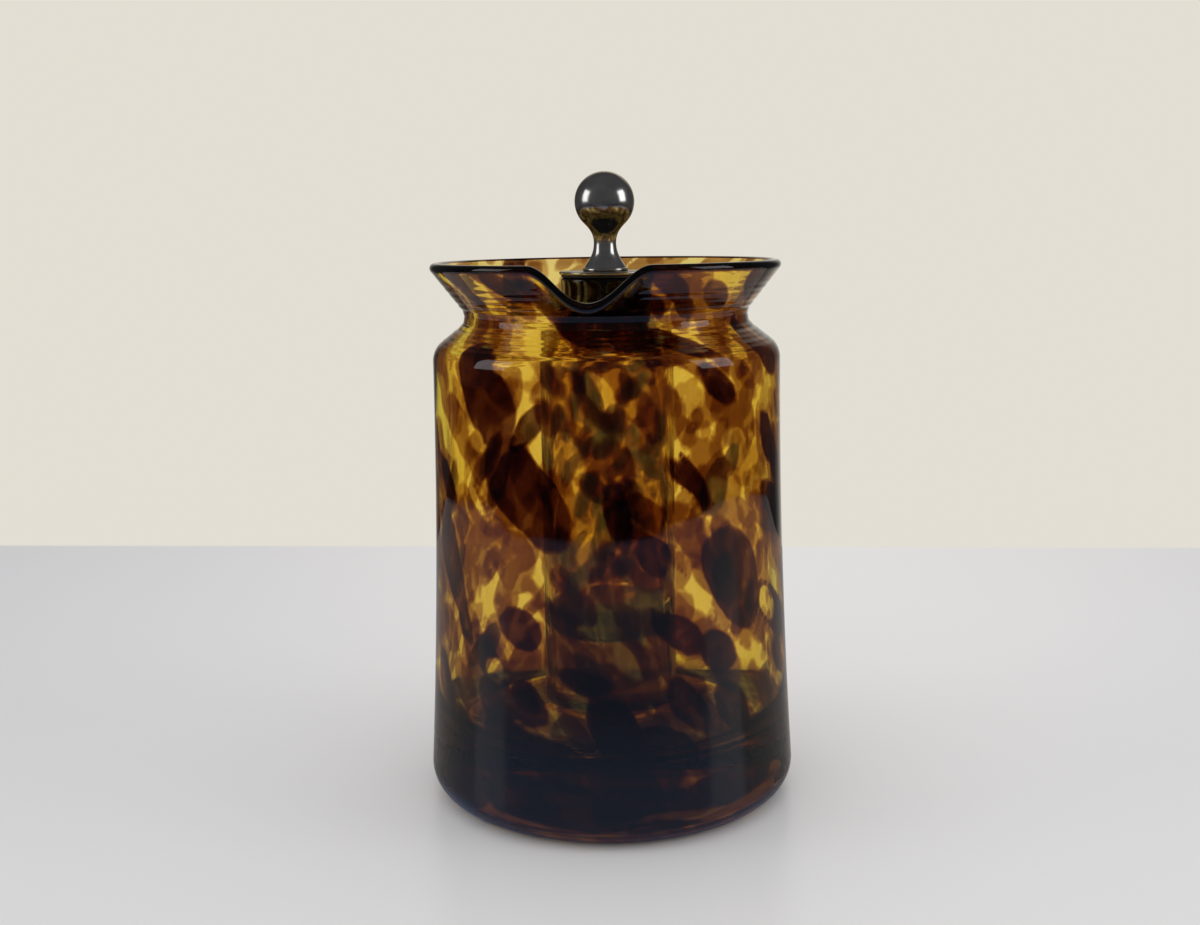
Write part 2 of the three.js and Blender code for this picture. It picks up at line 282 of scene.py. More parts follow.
def wire(tree, node, links):
    """Links a node's inputs to sockets or to the first outputs of nodes, or fills them with constants."""
    for socket, source in dict(links).items():
        if isinstance(source, bpy.types.Node):
            source = source.outputs[0]
        if isinstance(source, bpy.types.NodeSocket):
            tree.links.new(source, node.inputs[socket])
        else:
            node.inputs[socket].default_value = source


def add_node(tree, kind, links=(), **settings):
    """Adds a node, sets its properties and wires its inputs."""
    node = tree.nodes.new(kind)
    for key, value in settings.items():
        setattr(node, key, value)
    wire(tree, node, links)
    return node


def new_material(name):
    """Empty node material with its output and a Principled shader."""
    material = bpy.data.materials.new(name)
    material.use_nodes = True
    tree = material.node_tree
    tree.nodes.clear()
    shader = add_node(tree, "ShaderNodeBsdfPrincipled")
    output = add_node(tree, "ShaderNodeOutputMaterial", {"Surface": shader})
    return material, tree, shader, output


def chip_film(tree, layer, edge, ragged, uneven, tint):
    """Tint of a layer of melted chips, whose thickness thins out at ragged edges and varies inside."""
    fray = 1.6 * MM
    depth = add_node(tree, "ShaderNodeAttribute", attribute_name=layer).outputs["Fac"]
    shift = add_node(tree, "ShaderNodeMath", {0: ragged, 1: fray, 2: -fray / 2}, operation="MULTIPLY_ADD")
    frayed = add_node(tree, "ShaderNodeMath", {0: depth, 1: shift}, operation="ADD")
    mask = add_node(tree, "ShaderNodeMapRange", {
        "Value": frayed, "From Min": -edge / 2, "From Max": edge / 2,
    }, interpolation_type="SMOOTHSTEP")
    thickness = add_node(tree, "ShaderNodeMath", {0: mask, 1: uneven}, operation="MULTIPLY")
    return add_node(tree, "ShaderNodeGamma", {"Color": tint, "Gamma": thickness})


def tortoiseshell_glass(name, clear, body_colour, density):
    """Soda-lime glass, blown over amber with dark chips melted in.
    The amber deepens with thickness, and the chips are thin dark films with clean edges."""
    looks = bpy.context.scene.carafe_finishes
    pattern = bpy.context.scene.carafe_pattern
    material, tree, shader, output = new_material(name)
    place = add_node(tree, "ShaderNodeTexCoord").outputs["Object"]

    # Faint streaks some 9 mm apart, drawn out by the blowing
    stretch = add_node(tree, "ShaderNodeMapping", {
        "Vector": place, "Rotation": (0.0, pattern.tilt - math.pi / 2, 0.0), "Scale": (1.0, 1.0, 0.3)})
    streaks = add_node(tree, "ShaderNodeTexNoise", {
        "Vector": stretch, "Scale": 1 / (9 * MM), "Detail": 3.0})
    streak_mask = add_node(tree, "ShaderNodeMapRange", {
        "Value": streaks, "From Min": 0.45, "From Max": 0.75})
    tint = add_node(tree, "ShaderNodeMix", {
        0: streak_mask, 6: clear, 7: looks.streaked_glass}, data_type="RGBA").outputs[2]

    # Films of chips lie over each other, so where they cross it is darker
    ragged = add_node(tree, "ShaderNodeTexNoise", {"Vector": place, "Scale": 1 / (5 * MM), "Detail": 2.0})
    cloud = add_node(tree, "ShaderNodeTexNoise", {"Vector": place, "Scale": 1 / (22 * MM), "Detail": 2.0})
    uneven = add_node(tree, "ShaderNodeMapRange", {
        "Value": cloud, "From Min": 0.3, "From Max": 0.6, "To Min": 0.72, "To Max": 1.08})
    # The dark layer also carries the painted shade on the rim's bead, the base's underside and the tube
    # under the lid
    for layer, chips in (("speck_depth", looks.speck_glass), ("brown_depth", looks.brown_glass),
                         ("dark_and_shade_depth", looks.dark_and_shade_glass)):
        film = chip_film(tree, layer, pattern.edge, ragged, uneven, chips)
        tint = add_node(tree, "ShaderNodeMix", {0: 1.0, 6: tint, 7: film},
                        data_type="RGBA", blend_type="MULTIPLY").outputs[2]

    # Hand-blown glass is never quite true: slow waves some 30 mm long
    waves = add_node(tree, "ShaderNodeTexNoise", {"Vector": place, "Scale": 1 / (30 * MM), "Detail": 1.0})
    bump = add_node(tree, "ShaderNodeBump", {"Height": waves, "Strength": 0.25, "Distance": 1.2 * MM})
    wire(tree, shader, {
        "Base Color": tint, "Transmission Weight": 1.0, "IOR": 1.5, "Roughness": 0.015, "Normal": bump})
    body = add_node(tree, "ShaderNodeVolumeAbsorption", {"Color": body_colour, "Density": density})
    wire(tree, output, {"Volume": body})
    return material


def plated_metal(name, tint, roughness, painted_shade_band=None):
    """Nickel plate on turned brass: mirror polish with faint wiping haze.
    Between the two given heights, from the stem's waist to just under the ball's middle, it is painted
    darker as shade under the ball."""
    material, tree, shader, _ = new_material(name)
    place = add_node(tree, "ShaderNodeTexCoord").outputs["Object"]
    haze = add_node(tree, "ShaderNodeTexNoise", {"Vector": place, "Scale": 1 / (6 * MM), "Detail": 4.0})
    spread = add_node(tree, "ShaderNodeMapRange", {
        "Value": haze, "To Min": roughness * 0.7, "To Max": roughness * 1.5})
    worn = toned(tint, 0.86)
    shade = add_node(tree, "ShaderNodeMix", {0: haze, 6: worn, 7: tint}, data_type="RGBA")
    # Painted shade: darker from the waist up to just under the ball's middle, where shade falls under the
    # ball
    if painted_shade_band:
        middle = (painted_shade_band[0] + painted_shade_band[1]) / 2
        half = (painted_shade_band[1] - painted_shade_band[0]) / 2
        height = add_node(tree, "ShaderNodeSeparateXYZ", {0: place}).outputs["Z"]
        offset = add_node(tree, "ShaderNodeMath", {0: height, 1: middle}, operation="SUBTRACT")
        apart = add_node(tree, "ShaderNodeMath", {0: offset}, operation="ABSOLUTE")
        in_painted_shade = add_node(tree, "ShaderNodeMapRange", {
            "Value": apart, "From Min": half, "From Max": half - 4 * MM,
        }, interpolation_type="SMOOTHSTEP")
        shade = add_node(tree, "ShaderNodeMix", {
            0: in_painted_shade, 6: shade.outputs[2], 7: toned(tint, 0.15)}, data_type="RGBA")
    wire(tree, shader, {
        "Base Color": shade.outputs[2], "Roughness": spread, "Metallic": 1.0, "Specular Tint": worn})
    return material


def soft_rubber(name, tint):
    """Moulded silicone rubber: matt, with a very fine grain that is drawn coarse enough to show."""
    material, tree, shader, _ = new_material(name)
    place = add_node(tree, "ShaderNodeTexCoord").outputs["Object"]
    grain = add_node(tree, "ShaderNodeTexNoise", {"Vector": place, "Scale": 1 / (0.8 * MM), "Detail": 2.0})
    shade = add_node(tree, "ShaderNodeMix", {0: grain, 6: tint, 7: toned(tint, 1.5)}, data_type="RGBA")
    bump = add_node(tree, "ShaderNodeBump", {"Height": grain, "Strength": 0.2, "Distance": 0.05 * MM})
    wire(tree, shader, {"Base Color": shade.outputs[2], "Normal": bump, "Roughness": 0.62})
    return material


def scatter(rng, number, around, heights, half_lengths, slimness, tilt, spacing):
    """Patches thrown at random, kept apart: arc place, height, half length, half width and tilt."""
    patches = np.zeros((0, 5))
    lean_spread = math.radians(9)
    most_tries = number * 30
    tries = 0
    while len(patches) < number and tries < most_tries:
        tries += 1
        place = rng.uniform(0, around)
        height = rng.uniform(*heights)
        half = rng.uniform(*half_lengths)
        width = half * rng.uniform(*slimness)
        lean = tilt + rng.normal(0, lean_spread)
        across = (patches[:, 0] - place + around / 2) % around - around / 2
        apart = np.hypot(across, patches[:, 1] - height) - spacing * (half + patches[:, 2])
        if not len(patches) or apart.min() > 0:
            patches = np.vstack([patches, (place, height, half, width, lean)])
    return patches


def thin_flanks(rng, patches, around):
    """Patches with some of those low on the rear flanks left out, so that light comes through there."""
    kept_share = 0.75
    place = patches[:, 0] % around
    turned = np.minimum(place, around - place) / around
    flank = (turned > 0.27) & (turned < 0.45)
    flank &= (patches[:, 1] > 8 * MM) & (patches[:, 1] < 75 * MM)
    return patches[~flank | (rng.random(len(patches)) < kept_share)]


def patch_depth(places, heights, around, patches):
    """Depth of each point inside the nearest patch, in metres, and below zero outside."""
    depth = np.full(len(places), -1.0)
    wobble = 1.4 * MM
    lap = 2 * math.pi * places / around
    slow, quick = round(around / (57 * MM)), round(around / (50 * MM))
    bent = places + wobble * np.sin(heights / (7 * MM) + 1.3 * np.sin(slow * lap))
    lifted = heights + wobble * np.sin(quick * lap + 1.7)
    for place, height, half, width, lean in patches:
        across = (bent - place + around / 2) % around - around / 2
        up = lifted - height
        along = across * math.cos(lean) - up * math.sin(lean)
        aside = across * math.sin(lean) + up * math.cos(lean)
        ratio = np.sqrt((along / half) ** 2 + (aside / width) ** 2)
        depth = np.maximum(depth, (1 - ratio) * width)
    return depth


def set_depth(mesh, name, depth):
    """Stores a depth on the mesh's points for its material."""
    layer = mesh.attributes.new(name, "FLOAT", "POINT")
    layer.data.foreach_set("value", depth.astype(np.float32))


def finish_mesh(piece, material, body, node):
    """Gives a piece its material, smooth faces, body, CAD node and slot."""
    piece.data.materials.clear()
    piece.data.materials.append(material)
    piece.data.shade_smooth()
    piece.data.set_sharp_from_angle(angle=SHARP_ANGLE)
    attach(piece, body)
    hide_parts(node)


def lip_pull(azimuth, jug):
    """How far the lip is pulled at an azimuth from its middle, from 0 to 1."""
    half_angle = jug.lip_width / 2 / jug.rim_radius
    share = min(abs(azimuth) / half_angle, 1.0)
    return 0.5 * (1 + math.cos(math.pi * share))


def body_radius(height, jug):
    """Outside radius of the body, which swells gently towards the heel."""
    share = (jug.body_height - height) / (jug.body_height - jug.heel_round)
    return jug.shoulder_radius + (JUG_HIGH.x - jug.shoulder_radius) * share * share


def walk(points):
    """Distance along a profile at each of its points."""
    return np.concatenate([[0], np.cumsum(np.hypot(*np.diff(points, axis=0).T))])


def tool_marks(profile, depth):
    """Profile with faint uneven rings, which fade out towards both its ends."""
    points = np.array(profile)
    walked = walk(points)
    fade = np.sin(math.pi * walked / walked[-1])
    rings = np.sin(2 * math.pi * walked / (2.9 * MM)) + 0.6 * np.sin(2 * math.pi * walked / (4.3 * MM))
    points[:, 0] += depth * fade * rings
    return [tuple(p) for p in points]


def jug_section(azimuth, jug):
    """Half section of the jug: outside points up to the rim, then inside points down to the axis."""
    pull = lip_pull(azimuth, jug)
    half_wall = jug.wall / 2
    heel_radius = JUG_HIGH.x - jug.heel_round
    shoulder = Vector((jug.shoulder_radius - jug.shoulder_round, jug.body_height))
    neck = Vector((jug.neck_radius + jug.neck_round, jug.body_height + jug.neck_rise))
    rim = Vector((jug.rim_radius - half_wall + jug.lip_reach * pull,
                  JUG_HIGH.z - half_wall - jug.lip_drop * pull))
    rise = neck - shoulder
    slope = math.atan2(rise.y, rise.x) - math.acos((jug.shoulder_round + jug.neck_round) / rise.length)
    flare = rim - neck
    collar = math.atan2(flare.y, flare.x) + math.acos((jug.neck_round + half_wall) / flare.length)
    wall_foot = jug.floor_thickness + jug.floor_round
    foot_radius = body_radius(wall_foot, jug) - jug.wall
    inner_radius = jug.shoulder_radius - jug.wall
    quarter = math.pi / 2

    outside = [(0.0, jug.kick_depth)]
    outside += bezier([outside[-1], (jug.kick_radius / 2, jug.kick_depth), (jug.kick_radius, 0.0)], 12)
    outside += straight(outside[-1], (heel_radius, 0.0), 5)
    outside += arc((heel_radius, jug.heel_round), jug.heel_round, -quarter, 0, 14)[1:]
    middle = (jug.shoulder_radius, (jug.heel_round + jug.body_height) / 2)
    outside += bezier([outside[-1], middle, (jug.shoulder_radius, jug.body_height)], 84)
    plain_end = len(outside)
    outside += arc(shoulder, jug.shoulder_round, 0, slope, 20)[1:]
    bend = arc(neck, jug.neck_round, slope + math.pi, collar, 20)
    outside += straight(outside[-1], bend[0], 18) + bend[1:]
    bead = arc(rim, half_wall, collar - math.pi, collar, BEAD_STEPS)
    outside += straight(outside[-1], bead[0], 26)
    outside[plain_end:] = tool_marks(outside[plain_end:], jug.tool_mark)
    outside += bead[1:]

    drawn_wall = jug.wall * (1 - 0.25 * pull)
    bend = arc(neck, jug.neck_round + drawn_wall, collar, slope + math.pi, 10)
    inside = straight(outside[-1], bend[0], 8) + bend[1:]
    bend = arc(shoulder, jug.shoulder_round - jug.wall, slope, 0, 8)
    inside += straight(inside[-1], bend[0], 4) + bend[1:]
    middle = (inner_radius, (wall_foot + jug.body_height) / 2)
    inside += bezier([inside[-1], middle, (foot_radius, wall_foot)], 24)
    inside += arc((foot_radius - jug.floor_round, wall_foot), jug.floor_round, 0, -quarter, 12)[1:]
    inside += straight(inside[-1], (0.0, jug.floor_thickness), 6)
    return outside, inside


def jug_mesh(jug):
    """Jug lofted round its axis, with its outside points and where they lie for the pattern."""
    azimuths = np.arange(JUG_SEGMENTS) * 2 * math.pi / JUG_SEGMENTS - math.pi
    sections = [jug_section(azimuth, jug) for azimuth in azimuths]
    outer_count = len(sections[0][0])
    profiles = np.array([outside + inside for outside, inside in sections])
    rings = profiles.shape[1] - 2
    radius = profiles[:, 1:-1, 0]
    points = np.empty((JUG_SEGMENTS, rings, 3))
    points[..., 0] = radius * np.sin(azimuths)[:, None]
    points[..., 1] = -radius * np.cos(azimuths)[:, None]
    points[..., 2] = profiles[:, 1:-1, 1]
    low_pole = (0.0, 0.0, profiles[0, 0, 1])
    high_pole = (0.0, 0.0, profiles[0, -1, 1])
    vertices = np.concatenate([points.reshape(-1, 3), [low_pole, high_pole]])

    side = np.arange(JUG_SEGMENTS)
    following = (side + 1) % JUG_SEGMENTS
    step = np.arange(rings - 1)
    low = (side[:, None] * rings + step).ravel()
    low_next = (following[:, None] * rings + step).ravel()
    faces = np.stack([low, low_next, low_next + 1, low + 1], axis=1).tolist()
    bottom = len(vertices) - 2
    last = rings - 1
    faces += [[bottom, b * rings, a * rings] for a, b in zip(side, following)]
    faces += [[bottom + 1, a * rings + last, b * rings + last] for a, b in zip(side, following)]
    mesh = bpy.data.meshes.new("carafe_jug")
    mesh.from_pydata(vertices.tolist(), [], faces)
    mesh.update()

    # Distance along the outside of a plain section, counted so that it equals height on the body
    plain = np.array(jug_section(math.pi, jug)[0])
    walked = walk(plain)
    heel_end = int(np.argmin(np.abs(plain[:, 0] - JUG_HIGH.x)))
    walked += jug.heel_round - walked[heel_end]
    ring_outside = np.arange(rings) < outer_count - 1
    outside = np.append(np.tile(ring_outside, JUG_SEGMENTS), (False, False))
    climb = np.tile(walked[1:], JUG_SEGMENTS)
    swing = np.repeat(azimuths, outer_count - 1)
    return mesh, outside, climb, swing, walked[-1 - BEAD_STEPS]


def turning_tree():
    """Geometry Nodes tree that turns a profile of radius and height round the Z axis."""
    tree = bpy.data.node_groups.new("Turned piece", "GeometryNodeTree")
    for name, kind in (("Profile", "Geometry"), ("Segments", "Int"), ("Finish", "Material")):
        tree.interface.new_socket(name, in_out="INPUT", socket_type="NodeSocket" + kind)
    tree.interface.new_socket("Piece", in_out="OUTPUT", socket_type="NodeSocketGeometry")
    given = add_node(tree, "NodeGroupInput")
    profile = given.outputs["Profile"]

    steps = add_node(tree, "GeometryNodeAttributeDomainSize", {"Geometry": profile}, component="MESH")
    along = steps.outputs["Point Count"]
    around = add_node(tree, "ShaderNodeMath", {0: given.outputs["Segments"], 1: 1.0}, operation="ADD")
    sheet = add_node(tree, "GeometryNodeMeshGrid", {
        "Size X": 1.0, "Size Y": 1.0, "Vertices X": around, "Vertices Y": along})
    place = add_node(tree, "GeometryNodeInputPosition")
    parts = add_node(tree, "ShaderNodeSeparateXYZ", {0: place})

    last = add_node(tree, "ShaderNodeMath", {0: along, 1: 1.0}, operation="SUBTRACT")
    share = add_node(tree, "ShaderNodeMath", {0: parts.outputs["Y"], 1: 0.5}, operation="ADD")
    reach = add_node(tree, "ShaderNodeMath", {0: share, 1: last}, operation="MULTIPLY")
    pick = add_node(tree, "ShaderNodeMath", {0: reach}, operation="ROUND")
    point = add_node(tree, "GeometryNodeSampleIndex", {
        "Geometry": profile, "Value": place, "Index": pick}, data_type="FLOAT_VECTOR")
    taken = add_node(tree, "ShaderNodeSeparateXYZ", {0: point})
    radius = taken.outputs["X"]

    angle = add_node(tree, "ShaderNodeMath", {0: parts.outputs["X"], 1: math.tau}, operation="MULTIPLY")
    cosine = add_node(tree, "ShaderNodeMath", {0: angle}, operation="COSINE")
    sine = add_node(tree, "ShaderNodeMath", {0: angle}, operation="SINE")
    east = add_node(tree, "ShaderNodeMath", {0: radius, 1: cosine}, operation="MULTIPLY")
    north = add_node(tree, "ShaderNodeMath", {0: radius, 1: sine}, operation="MULTIPLY")
    spot = add_node(tree, "ShaderNodeCombineXYZ", {0: east, 1: north, 2: taken.outputs["Z"]})
    turned = add_node(tree, "GeometryNodeSetPosition", {"Geometry": sheet, "Position": spot})
    closed = add_node(tree, "GeometryNodeMergeByDistance", {"Geometry": turned, "Distance": 0.002 * MM})
    real = add_node(tree, "GeometryNodeRealizeInstances", {"Geometry": closed})
    dressed = add_node(tree, "GeometryNodeSetMaterial", {
        "Geometry": real, "Material": given.outputs["Finish"]})
    add_node(tree, "NodeGroupOutput", {"Piece": dressed})
    return tree


def turned_piece(name, profile, segments, material):
    """Piece turned from a profile that starts and ends on the axis, or closes on itself."""
    tree = bpy.data.node_groups.get("Turned piece") or turning_tree()
    sketch = bpy.data.meshes.new(name)
    edges = [(i, i + 1) for i in range(len(profile) - 1)]
    sketch.from_pydata([(r, 0.0, z) for r, z in profile], edges, [])
    piece = bpy.data.objects.new(name, sketch)
    bpy.context.scene.collection.objects.link(piece)
    lathe = piece.modifiers.new("Turn", "NODES")
    lathe.node_group = tree
    sockets = {item.name: item.identifier for item in tree.interface.items_tree}
    lathe[sockets["Segments"]] = segments
    lathe[sockets["Finish"]] = material
    evaluated = piece.evaluated_get(bpy.context.evaluated_depsgraph_get())
    mesh = bpy.data.meshes.new_from_object(evaluated)
    piece.modifiers.clear()
    piece.data = mesh
    return piece


def lid_piece(name, path, finish, node, segments=TURNED_SEGMENTS):
    """Turns one piece of the lid and gives it its finish."""
    finish_mesh(turned_piece(name, path, segments, finish), finish, "lid", node)


class CARAFE_OT_jug(bpy.types.Operator):
    """Loft the jug with its pouring lip and lay the tortoiseshell pattern round it"""
    bl_idname = "carafe.jug"
    bl_label = "Jug"

    def execute(self, context):
        jug = context.scene.carafe_jug
        pattern = context.scene.carafe_pattern
        looks = context.scene.carafe_finishes
        mesh, outside, climb, swing, bead_start = jug_mesh(jug)
        rng = np.random.default_rng(pattern.seed)
        around = 2 * math.pi * jug.shoulder_radius
        reach = (-45 * MM, 245 * MM)
        low, high = 15 * MM, 104 * MM
        tilt = pattern.tilt
        scale = np.array((math.radians(1) * jug.shoulder_radius, MM, MM, MM, math.radians(1)))
        front = np.array(FRONT_PATCHES) * scale
        small = front[:, 2] < 8.5 * MM

        # Dark patches: those listed for the front, and thrown ones elsewhere
        dark = scatter(rng, pattern.dark_patches, around, reach, (9 * MM, 17 * MM), (0.4, 0.6), tilt, 0.5)
        front_reach = math.radians(58) * jug.shoulder_radius
        front_low, front_high = 60 * MM, 205 * MM
        at_front = np.minimum(dark[:, 0], around - dark[:, 0]) < front_reach
        at_front &= (dark[:, 1] > front_low) & (dark[:, 1] < front_high)
        dark = np.vstack([front[~small], dark[~at_front]])

        # Brown and pale patches, which lie closer together on the lower body
        brown = scatter(
            rng, pattern.brown_patches, around, reach, (6 * MM, 13 * MM), (0.42, 0.6), tilt, 0.36)
        specks = scatter(rng, pattern.specks, around, reach, (4 * MM, 9 * MM), (0.45, 0.65), tilt, 0.45)
        cells = scatter(rng, pattern.cells, around, (low, high), (7 * MM, 12 * MM), (0.46, 0.6), tilt, 0.66)
        kept_share = 0.3
        kept = (brown[:, 1] < low) | (brown[:, 1] > high) | (rng.random(len(brown)) < kept_share)
        brown = thin_flanks(rng, np.vstack([brown[kept], cells, front[small]]), around)
        dark = thin_flanks(rng, dark, around)

        # The gaps cut through every layer; the rim's bead, darker in front than at the back, and the base's
        # middle get a dark film as painted shade
        places = swing * jug.shoulder_radius
        gaps = patch_depth(places, climb, around, np.array(FRONT_GAPS) * scale)
        for name, patches in (("dark_and_shade_depth", dark), ("brown_depth", brown), ("speck_depth", specks)):
            depth = np.full(len(outside), -1.0)
            depth[outside] = np.minimum(patch_depth(places, climb, around, patches), -gaps)
            if name == "dark_and_shade_depth":
                # Painted shade: dark film on the rim's bead, reaching lower in front than at the back, and
                # on the base's underside
                bead = climb - bead_start - 1.5 * MM * (1 - np.cos(swing))
                ends = np.maximum(bead, -13 * MM - climb)
                depth[outside] = np.maximum(depth[outside], ends)
            set_depth(mesh, name, depth)
        piece = bpy.data.objects.new("jug", mesh)
        context.scene.collection.objects.link(piece)
        glass = tortoiseshell_glass(
            "tortoiseshell glass", looks.clear_glass, looks.glass_body, JUG_ABSORPTION)
        finish_mesh(piece, glass, "carafe", "carafe_body")
        return {"FINISHED"}


class CARAFE_OT_ice_tube(bpy.types.Operator):
    """Turn the ice tube with its solid bottom and scatter its smaller patches"""
    bl_idname = "carafe.ice_tube"
    bl_label = "Ice tube"

    def execute(self, context):
        tube = context.scene.carafe_tube
        pattern = context.scene.carafe_pattern
        radius = TUBE_HIGH.x
        low, high = TUBE_LOW.z, TUBE_HIGH.z
        quarter = math.pi / 2
        inner = radius - tube.wall
        neck = tube.mouth_radius + tube.wall
        foot = radius - tube.foot_round
        mouth_foot = high - tube.mouth_height
        wall_top = mouth_foot - tube.shoulder_rise
        bend = (mouth_foot + wall_top) / 2
        bead = tube.wall / 2
        well_foot = low + tube.floor_thickness + tube.well_round

        path = [(0.0, low)] + straight((0.0, low), (foot, low), 4)
        path += arc((foot, low + tube.foot_round), tube.foot_round, -quarter, 0, 14)[1:]
        path += straight(path[-1], (radius, wall_top), 100)
        path += bezier([path[-1], (radius, bend), (neck, bend), (neck, mouth_foot)], 24)
        path += straight(path[-1], (neck, high - bead), 3)
        path += arc((neck - bead, high - bead), bead, 0, math.pi, 10)[1:]
        path += straight(path[-1], (tube.mouth_radius, mouth_foot), 3)
        path += bezier([path[-1], (tube.mouth_radius, bend), (inner, bend), (inner, wall_top)], 24)
        path += straight(path[-1], (inner, well_foot), 80)
        path += arc((inner - tube.well_round, well_foot), tube.well_round, 0, -quarter, 16)[1:]
        path += straight(path[-1], (0.0, low + tube.floor_thickness), 3)
        looks = context.scene.carafe_finishes
        glass = tortoiseshell_glass("ice tube glass", looks.tube_glass, looks.tube_body, TUBE_ABSORPTION)
        piece = turned_piece("ice_tube_glass", path, TUBE_SEGMENTS, glass)

        points = np.empty(len(piece.data.vertices) * 3, dtype=np.float32)
        piece.data.vertices.foreach_get("co", points)
        points = points.reshape(-1, 3).astype(float)
        around = 2 * math.pi * radius
        rng = np.random.default_rng(pattern.seed + 1)
        reach = (well_foot - 16 * MM, high)
        slimness = (0.45, 0.65)
        tilt = pattern.tilt
        brown = scatter(rng, pattern.tube_patches, around, reach, (5 * MM, 9 * MM), slimness, tilt, 0.42)
        specks = scatter(rng, pattern.tube_specks, around, reach, (3 * MM, 6 * MM), slimness, tilt, 0.5)
        places = np.arctan2(points[:, 0], -points[:, 1]) * radius % around

        # The well's floor is brown, and the glass under the lid is painted dark as shade
        in_well = np.hypot(points[:, 0], points[:, 1]) < inner + 0.2 * MM
        in_well &= points[:, 2] > low + 1 * MM
        well = np.where(in_well, well_foot - 4 * MM - points[:, 2], -1.0)
        for name, patches in (("brown_depth", brown), ("speck_depth", specks)):
            depth = patch_depth(places, points[:, 2], around, patches)
            set_depth(piece.data, name, np.maximum(depth, well))
        # Painted shade: the top 15 mm of the tube, under the lid, get the dark film
        set_depth(piece.data, "dark_and_shade_depth", points[:, 2] - high + 15 * MM)
        finish_mesh(piece, glass, "ice_tube", "ice_tube")
        return {"FINISHED"}


class CARAFE_OT_lid(bpy.types.Operator):
    """Turn the knob, plate, stopper, washer and screw of the lid"""
    bl_idname = "carafe.lid"
    bl_label = "Lid"

    def execute(self, context):
        lid = context.scene.carafe_lid
        looks = context.scene.carafe_finishes
        quarter = math.pi / 2
        hole = lid.screw_radius + lid.hole_clearance
        seat = KNOB_LOW.z
        # Painted shade under the ball, from the waist up to just under the ball's middle
        painted_shade_band = (seat + lid.waist_rise, seat + lid.ball_rise - 1.5 * MM)
        dark = plated_metal("dark nickel plate", looks.nickel_dark, 0.17, painted_shade_band)
        bright = plated_metal("bright nickel plate", looks.nickel_bright, 0.16)
        steel = plated_metal("plain stainless steel", looks.steel, 0.3)
        rubber = soft_rubber("silicone rubber", looks.rubber)

        # Plate: flat disc with a rounded edge
        low, high = PLATE_LOW.z, PLATE_HIGH.z
        edge = PLATE_HIGH.x - lid.plate_edge_round
        path = [(hole, low)] + straight((hole, low), (edge, low), 6)
        path += arc((edge, low + lid.plate_edge_round), lid.plate_edge_round, -quarter, 0, 6)[1:]
        path += arc((edge, high - lid.plate_edge_round), lid.plate_edge_round, 0, quarter, 6)
        path += straight(path[-1], (hole, high), 6) + [(hole, low)]
        lid_piece("plate", path, bright, "lid_plate")

        # Knob: ball on a drawn-in waist and a spreading foot
        ball_radius = KNOB_HIGH.z - seat - lid.ball_rise
        ball = (0.0, seat + lid.ball_rise)
        join = (ball_radius * math.cos(lid.ball_undercut),
                ball[1] - ball_radius * math.sin(lid.ball_undercut))
        waist = (lid.waist_radius, seat + lid.waist_rise)
        pull_up = (join[1] - waist[1]) / 2
        lean_in = pull_up * math.tan(lid.ball_undercut) / 2
        half_edge = lid.foot_edge / 2
        foot = lid.foot_radius - half_edge
        sweep = (lid.waist_rise - lid.foot_edge) / 2
        bore = lid.screw_radius + lid.thread_clearance
        bore_top = seat + lid.screw_grip + lid.hole_clearance
        path = [(0.0, bore_top), (bore, bore_top), (bore, seat)]
        path += straight((bore, seat), (foot, seat), 3)
        path += arc((foot, seat + half_edge), half_edge, -quarter, quarter, 12)[1:]
        flare = (2 * foot + waist[0]) / 3
        path += bezier([path[-1], (flare, seat + lid.foot_edge + sweep / 2),
                        (waist[0], seat + lid.foot_edge + sweep), waist], 20)
        path += bezier([waist, (waist[0], waist[1] + pull_up),
                        (join[0] - lean_in, join[1] - lean_in), join], 16)
        path += arc(ball, ball_radius, -lid.ball_undercut, quarter, 40)[1:]
        path[-1] = (0.0, path[-1][1])
        lid_piece("knob", path, dark, "lid_knob")

        # Stopper: plug with rounded sealing ribs under a thin flange
        low, high = STOPPER_LOW.z, STOPPER_HIGH.z
        flange = high - lid.stopper_flange
        pitch = (flange - low) / max(lid.stopper_ribs, 1)
        core, rib = lid.stopper_core_radius, lid.stopper_rib_radius
        path = [(hole, low), (core, low)]
        swell = np.linspace(0, 1, 13)[1:]
        for number in range(lid.stopper_ribs):
            start = low + number * pitch
            path += [(core + (rib - core) * math.sin(math.pi * share) ** 1.5, start + pitch * share)
                     for share in swell]
        path += [(STOPPER_HIGH.x, flange), (STOPPER_HIGH.x, high), (hole, high), (hole, low)]
        lid_piece("stopper", path, rubber, "lid_stopper")

        # Washer and round-headed screw
        low, high = WASHER_LOW.z, WASHER_HIGH.z
        outer = WASHER_HIGH.x
        chamfer = 0.2 * MM
        path = [(hole, low), (outer - chamfer, low), (outer, low + chamfer), (outer, high)]
        path += [(hole, high), (hole, low)]
        lid_piece("washer", path, steel, "lid_washer")

        low, high = SCREW_LOW.z, SCREW_HIGH.z
        head = low + lid.screw_head_height
        shank = lid.screw_radius
        path = [(0.0, low)] + bezier([(0.0, low), (SCREW_HIGH.x, low), (SCREW_HIGH.x, head)], 14)
        path += [(shank, head), (shank, high), (0.0, high)]
        lid_piece("screw", path, steel, "lid_screw", TURNED_SEGMENTS // 2)
        return {"FINISHED"}


def mirror_ray(tree):
    """One for rays that a polished surface mirrors, and nought for those that come through glass."""
    path = add_node(tree, "ShaderNodeLightPath")
    return add_node(tree, "ShaderNodeMath", {
        0: path.outputs["Is Glossy Ray"], 1: path.outputs["Is Reflection Ray"]}, operation="MULTIPLY")


